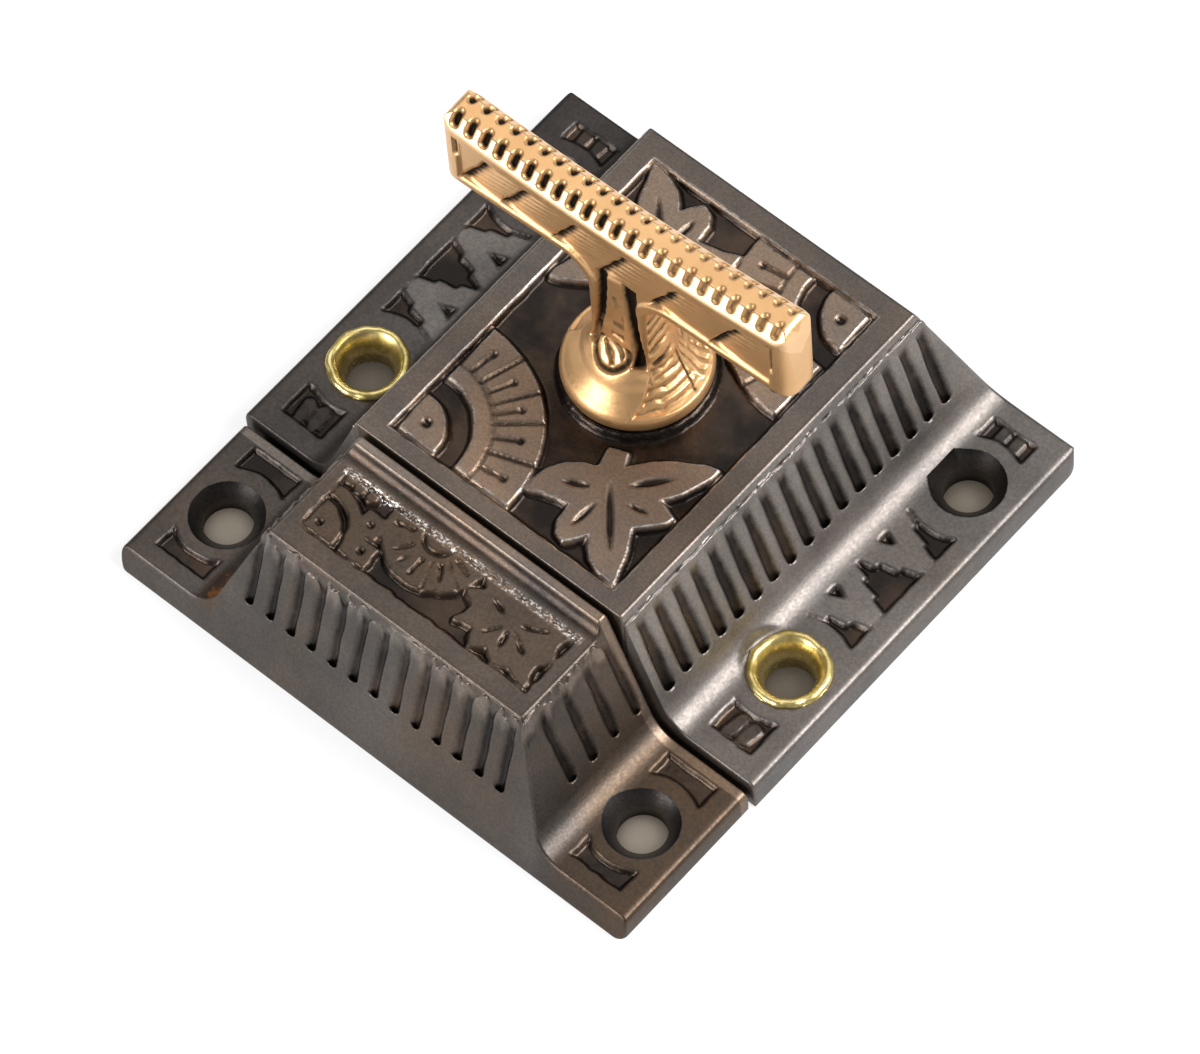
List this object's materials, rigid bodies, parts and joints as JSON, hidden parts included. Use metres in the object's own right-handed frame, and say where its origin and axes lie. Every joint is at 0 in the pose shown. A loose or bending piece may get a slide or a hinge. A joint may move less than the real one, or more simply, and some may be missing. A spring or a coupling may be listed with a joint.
{
  "type": "cupboard catch latch",
  "caption": "Ornamental cast-iron cupboard catch: a bronze T-handle draws a spring bolt back from a separate strike; fluted sides, carved panels, brass eyelets.",
  "frame": {"origin": "middle of the mounting plane, centred between the strike's front foot and the case's far foot", "axes": "+X to the right across the flanges, +Y from the strike towards the case, +Z out from the door along the spindle"},
  "size_m": [0.054, 0.0568, 0.0389],
  "materials": {
    "iron": "dark aged casting, burnished on the raised edges",
    "bronze": "polished copper-coloured bronze, dark in the hollows",
    "steel": "plain dull steel",
    "spring_steel": "blued spring strip",
    "plate": "dull sheet",
    "brass": "polished brass"
  },
  "bodies": {
    "frame": {"latch_case": "iron", "strike": "iron", "back_plate": "plate", "eyelet_left": "brass", "eyelet_right": "brass", "bow_spring": "spring_steel"},
    "handle": {"t_handle": "bronze", "dog": "steel", "spindle_washer": "steel"},
    "bolt": {"latch_bolt": "steel"}
  },
  "joints": [
    {"name": "handle_turn", "type": "hinge", "parent": "frame", "child": "handle", "pos_m": [0, 0.0056, 0], "axis": [0, 0, 1], "range_deg": [0, 45]},
    {"name": "bolt_slide", "type": "slide", "parent": "frame", "child": "bolt", "axis": [0, 1, 0], "range_m": [0, 0.0057], "stiffness_N_per_m": 600, "springref_m": -0.004, "deforming": ["bow_spring"]}
  ],
  "couplings": [
    {"joint": "handle_turn", "follows": "bolt_slide", "rad_per_m": 137}
  ]
}
